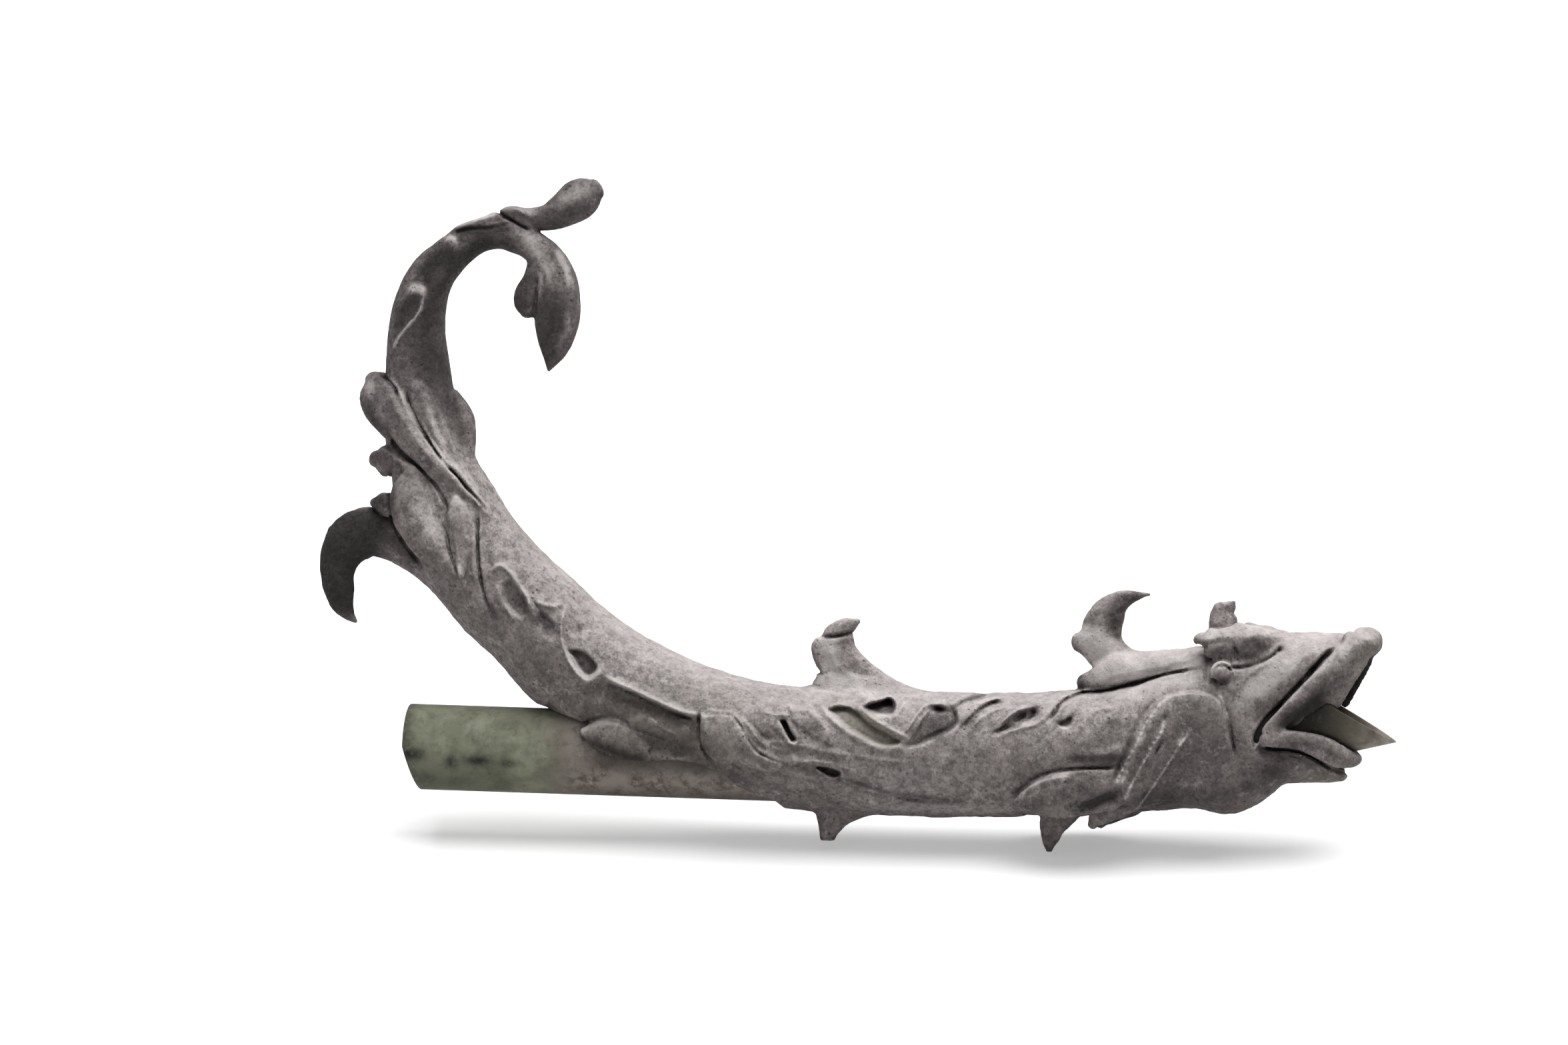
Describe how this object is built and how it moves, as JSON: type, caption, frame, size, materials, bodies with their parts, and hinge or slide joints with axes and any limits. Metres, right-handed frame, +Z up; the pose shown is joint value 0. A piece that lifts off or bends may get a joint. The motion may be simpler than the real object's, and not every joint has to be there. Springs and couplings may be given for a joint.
{
  "type": "dragon fountain spout",
  "caption": "Cast dragon water spout with a curled leafy tail and open mouth, fed by a round pipe at the rear and pouring through a slanting copper nozzle.",
  "frame": {"origin": "centre of the supply pipe's rear end, where it enters the wall", "axes": "+X along the pipe towards the dragon's head, +Z up towards the tail's curl, Y across the dragon with Y=0 its plane of symmetry"},
  "size_m": [0.9185, 0.1196, 0.5537],
  "materials": {
    "weathered_lead": "weathered grey-brown lead skin, granular, mostly matte",
    "green_copper": "green patinated copper with dark stains, matte",
    "nozzle_copper": "dark olive tarnished copper, matte"
  },
  "bodies": {
    "root": {"dragon_casting": "weathered_lead", "supply_pipe": "green_copper", "mouth_nozzle": "nozzle_copper"}
  },
  "joints": []
}
